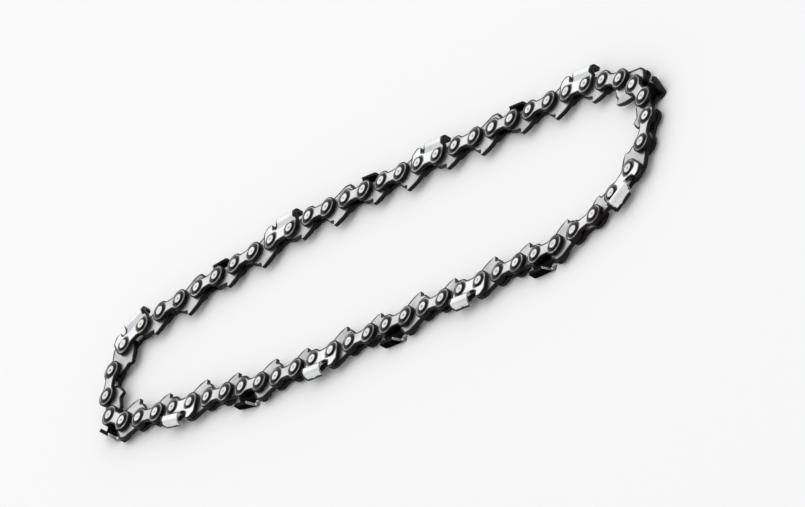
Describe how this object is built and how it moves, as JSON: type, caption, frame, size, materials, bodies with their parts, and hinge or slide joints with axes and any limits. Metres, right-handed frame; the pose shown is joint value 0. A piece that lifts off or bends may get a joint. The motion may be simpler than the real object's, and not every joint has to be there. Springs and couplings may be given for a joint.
{
  "type": "chainsaw chain loop",
  "caption": "Closed loop of saw chain: drive links with hooked tangs joined by riveted side plates, with left and right cutters, depth gauges and bumper links.",
  "frame": {"origin": "centre of the loop's box, on the plane it lies on", "axes": "+X along the loop towards its wide end, +Z along the rivets towards the left-hand cutters' side"},
  "size_m": [0.2844, 0.0734, 0.0061],
  "materials": {
    "cutter_steel": "hard chrome over hardened steel, ground cutting edges",
    "dark_cutter_steel": "black oxide over hardened steel, ground cutting edges",
    "strap_steel": "tumbled bright steel with oiled, darker edges",
    "drive_steel": "tumbled bright steel with oiled, darker edges"
  },
  "bodies": {
    "wide_end": {"wide_end_drive_links": "drive_steel", "wide_end_cutters": "cutter_steel", "wide_end_tie_straps": "strap_steel"},
    "tight_end": {"tight_end_drive_links": "drive_steel", "tight_end_cutters": "cutter_steel", "tight_end_tie_straps": "strap_steel"},
    "drive_link_01": {"drive_link_01": "drive_steel"},
    "tie_strap_pair_02": {"tie_strap_pair_02": "strap_steel"},
    "bumper_link_02": {"bumper_link_02": "drive_steel"},
    "right_cutter_01": {"right_cutter_01": "dark_cutter_steel"},
    "drive_link_02": {"drive_link_02": "drive_steel"},
    "tie_strap_pair_03": {"tie_strap_pair_03": "strap_steel"},
    "bumper_link_03": {"bumper_link_03": "drive_steel"},
    "left_cutter_02": {"left_cutter_02": "cutter_steel"},
    "drive_link_03": {"drive_link_03": "drive_steel"},
    "tie_strap_pair_04": {"tie_strap_pair_04": "strap_steel"},
    "bumper_link_04": {"bumper_link_04": "drive_steel"},
    "right_cutter_02": {"right_cutter_02": "dark_cutter_steel"},
    "drive_link_04": {"drive_link_04": "drive_steel"},
    "tie_strap_pair_05": {"tie_strap_pair_05": "strap_steel"},
    "bumper_link_05": {"bumper_link_05": "drive_steel"},
    "left_cutter_03": {"left_cutter_03": "cutter_steel"},
    "drive_link_05": {"drive_link_05": "drive_steel"},
    "tie_strap_pair_06": {"tie_strap_pair_06": "strap_steel"},
    "bumper_link_06": {"bumper_link_06": "drive_steel"},
    "right_cutter_03": {"right_cutter_03": "dark_cutter_steel"},
    "drive_link_06": {"drive_link_06": "drive_steel"},
    "tie_strap_pair_07": {"tie_strap_pair_07": "strap_steel"},
    "bumper_link_07": {"bumper_link_07": "drive_steel"},
    "left_cutter_04": {"left_cutter_04": "cutter_steel"},
    "drive_link_07": {"drive_link_07": "drive_steel"},
    "tie_strap_pair_08": {"tie_strap_pair_08": "strap_steel"},
    "bumper_link_08": {"bumper_link_08": "drive_steel"},
    "drive_link_09": {"drive_link_09": "drive_steel"},
    "tie_strap_pair_10": {"tie_strap_pair_10": "strap_steel"},
    "bumper_link_10": {"bumper_link_10": "drive_steel"},
    "right_cutter_05": {"right_cutter_05": "dark_cutter_steel"},
    "drive_link_10": {"drive_link_10": "drive_steel"},
    "tie_strap_pair_11": {"tie_strap_pair_11": "strap_steel"},
    "bumper_link_11": {"bumper_link_11": "drive_steel"},
    "left_cutter_06": {"left_cutter_06": "cutter_steel"},
    "drive_link_11": {"drive_link_11": "drive_steel"},
    "tie_strap_pair_12": {"tie_strap_pair_12": "strap_steel"},
    "bumper_link_12": {"bumper_link_12": "drive_steel"},
    "right_cutter_06": {"right_cutter_06": "dark_cutter_steel"},
    "drive_link_12": {"drive_link_12": "drive_steel"},
    "tie_strap_pair_13": {"tie_strap_pair_13": "strap_steel"},
    "bumper_link_13": {"bumper_link_13": "drive_steel"},
    "left_cutter_07": {"left_cutter_07": "cutter_steel"},
    "drive_link_13": {"drive_link_13": "drive_steel"},
    "tie_strap_pair_14": {"tie_strap_pair_14": "strap_steel"},
    "bumper_link_14": {"bumper_link_14": "drive_steel"},
    "right_cutter_07": {"right_cutter_07": "dark_cutter_steel"},
    "drive_link_14": {"drive_link_14": "drive_steel"},
    "tie_strap_pair_15": {"tie_strap_pair_15": "strap_steel"},
    "bumper_link_15": {"bumper_link_15": "drive_steel"},
    "left_cutter_08": {"left_cutter_08": "cutter_steel"},
    "drive_link_15": {"drive_link_15": "drive_steel"},
    "tie_strap_pair_16": {"tie_strap_pair_16": "strap_steel"},
    "bumper_link_16": {"bumper_link_16": "drive_steel"}
  },
  "joints": [
    {"name": "pivot_17", "type": "hinge", "parent": "tie_strap_pair_05", "child": "bumper_link_05", "pos_m": [-0.00342, -0.03012, 0.00305], "axis": [0, 0, 1], "range_deg": [-20, 20]},
    {"name": "pivot_18", "type": "hinge", "parent": "bumper_link_05", "child": "left_cutter_03", "pos_m": [-0.01295, -0.03012, 0.00305], "axis": [0, 0, 1], "range_deg": [-20, 20]},
    {"name": "pivot_19", "type": "hinge", "parent": "left_cutter_03", "child": "drive_link_05", "pos_m": [-0.02247, -0.03012, 0.00305], "axis": [0, 0, 1], "range_deg": [-20, 20]},
    {"name": "pivot_20", "type": "hinge", "parent": "drive_link_05", "child": "tie_strap_pair_06", "pos_m": [-0.032, -0.03012, 0.00305], "axis": [0, 0, 1], "range_deg": [-20, 20]},
    {"name": "pivot_21", "type": "hinge", "parent": "tie_strap_pair_06", "child": "bumper_link_06", "pos_m": [-0.04152, -0.03012, 0.00305], "axis": [0, 0, 1], "range_deg": [-20, 20]},
    {"name": "pivot_22", "type": "hinge", "parent": "bumper_link_06", "child": "right_cutter_03", "pos_m": [-0.05096, -0.02885, 0.00305], "axis": [0, 0, 1], "range_deg": [-20, 20]},
    {"name": "pivot_23", "type": "hinge", "parent": "right_cutter_03", "child": "drive_link_06", "pos_m": [-0.06041, -0.02762, 0.00305], "axis": [0, 0, 1], "range_deg": [-20, 20]},
    {"name": "pivot_24", "type": "hinge", "parent": "drive_link_06", "child": "tie_strap_pair_07", "pos_m": [-0.06985, -0.02636, 0.00305], "axis": [0, 0, 1], "range_deg": [-20, 20]},
    {"name": "pivot_25", "type": "hinge", "parent": "tie_strap_pair_07", "child": "bumper_link_07", "pos_m": [-0.07929, -0.02513, 0.00305], "axis": [0, 0, 1], "range_deg": [-20, 20]},
    {"name": "pivot_26", "type": "hinge", "parent": "bumper_link_07", "child": "left_cutter_04", "pos_m": [-0.08874, -0.02387, 0.00305], "axis": [0, 0, 1], "range_deg": [-20, 20]},
    {"name": "pivot_27", "type": "hinge", "parent": "left_cutter_04", "child": "drive_link_07", "pos_m": [-0.09818, -0.02263, 0.00305], "axis": [0, 0, 1], "range_deg": [-20, 20]},
    {"name": "pivot_28", "type": "hinge", "parent": "drive_link_07", "child": "tie_strap_pair_08", "pos_m": [-0.10762, -0.02137, 0.00305], "axis": [0, 0, 1], "range_deg": [-20, 20]},
    {"name": "pivot_29", "type": "hinge", "parent": "tie_strap_pair_08", "child": "bumper_link_08", "pos_m": [-0.11707, -0.02014, 0.00305], "axis": [0, 0, 1], "range_deg": [-20, 20]},
    {"name": "pivot_30", "type": "hinge", "parent": "bumper_link_08", "child": "tight_end", "pos_m": [-0.12638, -0.01816, 0.00305], "axis": [0, 0, 1], "range_deg": [-20, 20]},
    {"name": "pivot_35", "type": "hinge", "parent": "tight_end", "child": "drive_link_09", "pos_m": [-0.12638, 0.01816, 0.00305], "axis": [0, 0, 1], "range_deg": [-20, 20]},
    {"name": "pivot_36", "type": "hinge", "parent": "drive_link_09", "child": "tie_strap_pair_10", "pos_m": [-0.11707, 0.02014, 0.00305], "axis": [0, 0, 1], "range_deg": [-20, 20]},
    {"name": "pivot_37", "type": "hinge", "parent": "tie_strap_pair_10", "child": "bumper_link_10", "pos_m": [-0.10762, 0.02137, 0.00305], "axis": [0, 0, 1], "range_deg": [-20, 20]},
    {"name": "pivot_38", "type": "hinge", "parent": "bumper_link_10", "child": "right_cutter_05", "pos_m": [-0.09818, 0.02263, 0.00305], "axis": [0, 0, 1], "range_deg": [-20, 20]},
    {"name": "pivot_39", "type": "hinge", "parent": "right_cutter_05", "child": "drive_link_10", "pos_m": [-0.08874, 0.02387, 0.00305], "axis": [0, 0, 1], "range_deg": [-20, 20]},
    {"name": "pivot_40", "type": "hinge", "parent": "drive_link_10", "child": "tie_strap_pair_11", "pos_m": [-0.07929, 0.02513, 0.00305], "axis": [0, 0, 1], "range_deg": [-20, 20]},
    {"name": "pivot_41", "type": "hinge", "parent": "tie_strap_pair_11", "child": "bumper_link_11", "pos_m": [-0.06985, 0.02636, 0.00305], "axis": [0, 0, 1], "range_deg": [-20, 20]},
    {"name": "pivot_42", "type": "hinge", "parent": "bumper_link_11", "child": "left_cutter_06", "pos_m": [-0.06041, 0.02762, 0.00305], "axis": [0, 0, 1], "range_deg": [-20, 20]},
    {"name": "pivot_43", "type": "hinge", "parent": "left_cutter_06", "child": "drive_link_11", "pos_m": [-0.05096, 0.02885, 0.00305], "axis": [0, 0, 1], "range_deg": [-20, 20]},
    {"name": "pivot_44", "type": "hinge", "parent": "drive_link_11", "child": "tie_strap_pair_12", "pos_m": [-0.04152, 0.03012, 0.00305], "axis": [0, 0, 1], "range_deg": [-20, 20]},
    {"name": "pivot_45", "type": "hinge", "parent": "tie_strap_pair_12", "child": "bumper_link_12", "pos_m": [-0.032, 0.03012, 0.00305], "axis": [0, 0, 1], "range_deg": [-20, 20]},
    {"name": "pivot_46", "type": "hinge", "parent": "bumper_link_12", "child": "right_cutter_06", "pos_m": [-0.02247, 0.03012, 0.00305], "axis": [0, 0, 1], "range_deg": [-20, 20]},
    {"name": "pivot_47", "type": "hinge", "parent": "right_cutter_06", "child": "drive_link_12", "pos_m": [-0.01295, 0.03012, 0.00305], "axis": [0, 0, 1], "range_deg": [-20, 20]},
    {"name": "pivot_16", "type": "hinge", "parent": "tie_strap_pair_05", "child": "drive_link_04", "pos_m": [0.0061, -0.03012, 0.00305], "axis": [0, 0, 1], "range_deg": [-20, 20]},
    {"name": "pivot_15", "type": "hinge", "parent": "drive_link_04", "child": "right_cutter_02", "pos_m": [0.01563, -0.03012, 0.00305], "axis": [0, 0, 1], "range_deg": [-20, 20]},
    {"name": "pivot_14", "type": "hinge", "parent": "right_cutter_02", "child": "bumper_link_04", "pos_m": [0.02515, -0.03012, 0.00305], "axis": [0, 0, 1], "range_deg": [-20, 20]},
    {"name": "pivot_13", "type": "hinge", "parent": "bumper_link_04", "child": "tie_strap_pair_04", "pos_m": [0.03468, -0.03012, 0.00305], "axis": [0, 0, 1], "range_deg": [-20, 20]},
    {"name": "pivot_12", "type": "hinge", "parent": "tie_strap_pair_04", "child": "drive_link_03", "pos_m": [0.0442, -0.03012, 0.00305], "axis": [0, 0, 1], "range_deg": [-20, 20]},
    {"name": "pivot_11", "type": "hinge", "parent": "drive_link_03", "child": "left_cutter_02", "pos_m": [0.05373, -0.03012, 0.00305], "axis": [0, 0, 1], "range_deg": [-20, 20]},
    {"name": "pivot_10", "type": "hinge", "parent": "left_cutter_02", "child": "bumper_link_03", "pos_m": [0.06325, -0.03012, 0.00305], "axis": [0, 0, 1], "range_deg": [-20, 20]},
    {"name": "pivot_09", "type": "hinge", "parent": "bumper_link_03", "child": "tie_strap_pair_03", "pos_m": [0.07278, -0.03012, 0.00305], "axis": [0, 0, 1], "range_deg": [-20, 20]},
    {"name": "pivot_08", "type": "hinge", "parent": "tie_strap_pair_03", "child": "drive_link_02", "pos_m": [0.0823, -0.03012, 0.00305], "axis": [0, 0, 1], "range_deg": [-20, 20]},
    {"name": "pivot_07", "type": "hinge", "parent": "drive_link_02", "child": "right_cutter_01", "pos_m": [0.09183, -0.03012, 0.00305], "axis": [0, 0, 1], "range_deg": [-20, 20]},
    {"name": "pivot_06", "type": "hinge", "parent": "right_cutter_01", "child": "bumper_link_02", "pos_m": [0.10135, -0.02978, 0.00305], "axis": [0, 0, 1], "range_deg": [-20, 20]},
    {"name": "pivot_05", "type": "hinge", "parent": "bumper_link_02", "child": "tie_strap_pair_02", "pos_m": [0.11066, -0.0278, 0.00305], "axis": [0, 0, 1], "range_deg": [-20, 20]},
    {"name": "pivot_04", "type": "hinge", "parent": "tie_strap_pair_02", "child": "drive_link_01", "pos_m": [0.11982, -0.02518, 0.00305], "axis": [0, 0, 1], "range_deg": [-20, 20]},
    {"name": "pivot_03", "type": "hinge", "parent": "drive_link_01", "child": "wide_end", "pos_m": [0.1279, -0.02013, 0.00305], "axis": [0, 0, 1], "range_deg": [-20, 20]},
    {"name": "pivot_62", "type": "hinge", "parent": "wide_end", "child": "bumper_link_16", "pos_m": [0.1279, 0.02013, 0.00305], "axis": [0, 0, 1], "range_deg": [-20, 20]},
    {"name": "pivot_61", "type": "hinge", "parent": "bumper_link_16", "child": "tie_strap_pair_16", "pos_m": [0.11982, 0.02518, 0.00305], "axis": [0, 0, 1], "range_deg": [-20, 20]},
    {"name": "pivot_60", "type": "hinge", "parent": "tie_strap_pair_16", "child": "drive_link_15", "pos_m": [0.11066, 0.0278, 0.00305], "axis": [0, 0, 1], "range_deg": [-20, 20]},
    {"name": "pivot_59", "type": "hinge", "parent": "drive_link_15", "child": "left_cutter_08", "pos_m": [0.10135, 0.02978, 0.00305], "axis": [0, 0, 1], "range_deg": [-20, 20]},
    {"name": "pivot_58", "type": "hinge", "parent": "left_cutter_08", "child": "bumper_link_15", "pos_m": [0.09183, 0.03012, 0.00305], "axis": [0, 0, 1], "range_deg": [-20, 20]},
    {"name": "pivot_57", "type": "hinge", "parent": "bumper_link_15", "child": "tie_strap_pair_15", "pos_m": [0.0823, 0.03012, 0.00305], "axis": [0, 0, 1], "range_deg": [-20, 20]},
    {"name": "pivot_56", "type": "hinge", "parent": "tie_strap_pair_15", "child": "drive_link_14", "pos_m": [0.07278, 0.03012, 0.00305], "axis": [0, 0, 1], "range_deg": [-20, 20]},
    {"name": "pivot_55", "type": "hinge", "parent": "drive_link_14", "child": "right_cutter_07", "pos_m": [0.06325, 0.03012, 0.00305], "axis": [0, 0, 1], "range_deg": [-20, 20]},
    {"name": "pivot_54", "type": "hinge", "parent": "right_cutter_07", "child": "bumper_link_14", "pos_m": [0.05373, 0.03012, 0.00305], "axis": [0, 0, 1], "range_deg": [-20, 20]},
    {"name": "pivot_53", "type": "hinge", "parent": "bumper_link_14", "child": "tie_strap_pair_14", "pos_m": [0.0442, 0.03012, 0.00305], "axis": [0, 0, 1], "range_deg": [-20, 20]},
    {"name": "pivot_52", "type": "hinge", "parent": "tie_strap_pair_14", "child": "drive_link_13", "pos_m": [0.03468, 0.03012, 0.00305], "axis": [0, 0, 1], "range_deg": [-20, 20]},
    {"name": "pivot_51", "type": "hinge", "parent": "drive_link_13", "child": "left_cutter_07", "pos_m": [0.02515, 0.03012, 0.00305], "axis": [0, 0, 1], "range_deg": [-20, 20]},
    {"name": "pivot_50", "type": "hinge", "parent": "left_cutter_07", "child": "bumper_link_13", "pos_m": [0.01563, 0.03012, 0.00305], "axis": [0, 0, 1], "range_deg": [-20, 20]},
    {"name": "pivot_49", "type": "hinge", "parent": "bumper_link_13", "child": "tie_strap_pair_13", "pos_m": [0.0061, 0.03012, 0.00305], "axis": [0, 0, 1], "range_deg": [-20, 20]}
  ],
  "couplings": [
    {"joint": "pivot_18", "follows": "pivot_17", "ratio": -1},
    {"joint": "pivot_20", "follows": "pivot_19", "ratio": -1},
    {"joint": "pivot_22", "follows": "pivot_21", "ratio": -1},
    {"joint": "pivot_23", "follows": "pivot_21", "ratio": 1},
    {"joint": "pivot_24", "follows": "pivot_21", "ratio": -1},
    {"joint": "pivot_25", "follows": "pivot_21", "ratio": 1},
    {"joint": "pivot_26", "follows": "pivot_21", "ratio": -1},
    {"joint": "pivot_27", "follows": "pivot_21", "ratio": 1},
    {"joint": "pivot_28", "follows": "pivot_21", "ratio": -1},
    {"joint": "pivot_29", "follows": "pivot_06", "ratio": 1},
    {"joint": "pivot_30", "follows": "pivot_06", "ratio": -1},
    {"joint": "pivot_35", "follows": "pivot_06", "ratio": 1},
    {"joint": "pivot_36", "follows": "pivot_06", "ratio": -1},
    {"joint": "pivot_37", "follows": "pivot_21", "ratio": 1},
    {"joint": "pivot_38", "follows": "pivot_21", "ratio": -1},
    {"joint": "pivot_39", "follows": "pivot_21", "ratio": 1},
    {"joint": "pivot_40", "follows": "pivot_21", "ratio": -1},
    {"joint": "pivot_41", "follows": "pivot_21", "ratio": 1},
    {"joint": "pivot_42", "follows": "pivot_21", "ratio": -1},
    {"joint": "pivot_43", "follows": "pivot_21", "ratio": 1},
    {"joint": "pivot_44", "follows": "pivot_21", "ratio": -1},
    {"joint": "pivot_45", "follows": "pivot_19", "ratio": 1},
    {"joint": "pivot_46", "follows": "pivot_19", "ratio": -1},
    {"joint": "pivot_47", "follows": "pivot_17", "ratio": 1},
    {"joint": "pivot_15", "follows": "pivot_16", "ratio": -1},
    {"joint": "pivot_13", "follows": "pivot_14", "ratio": -1},
    {"joint": "pivot_11", "follows": "pivot_12", "ratio": -1},
    {"joint": "pivot_09", "follows": "pivot_10", "ratio": -1},
    {"joint": "pivot_07", "follows": "pivot_08", "ratio": -1},
    {"joint": "pivot_05", "follows": "pivot_06", "ratio": -1},
    {"joint": "pivot_04", "follows": "pivot_21", "ratio": 1},
    {"joint": "pivot_03", "follows": "pivot_21", "ratio": -1},
    {"joint": "pivot_62", "follows": "pivot_21", "ratio": 1},
    {"joint": "pivot_61", "follows": "pivot_21", "ratio": -1},
    {"joint": "pivot_60", "follows": "pivot_06", "ratio": 1},
    {"joint": "pivot_59", "follows": "pivot_06", "ratio": -1},
    {"joint": "pivot_58", "follows": "pivot_08", "ratio": 1},
    {"joint": "pivot_57", "follows": "pivot_08", "ratio": -1},
    {"joint": "pivot_56", "follows": "pivot_10", "ratio": 1},
    {"joint": "pivot_55", "follows": "pivot_10", "ratio": -1},
    {"joint": "pivot_54", "follows": "pivot_12", "ratio": 1},
    {"joint": "pivot_53", "follows": "pivot_12", "ratio": -1},
    {"joint": "pivot_52", "follows": "pivot_14", "ratio": 1},
    {"joint": "pivot_51", "follows": "pivot_14", "ratio": -1},
    {"joint": "pivot_50", "follows": "pivot_16", "ratio": 1},
    {"joint": "pivot_49", "follows": "pivot_16", "ratio": -1}
  ]
}
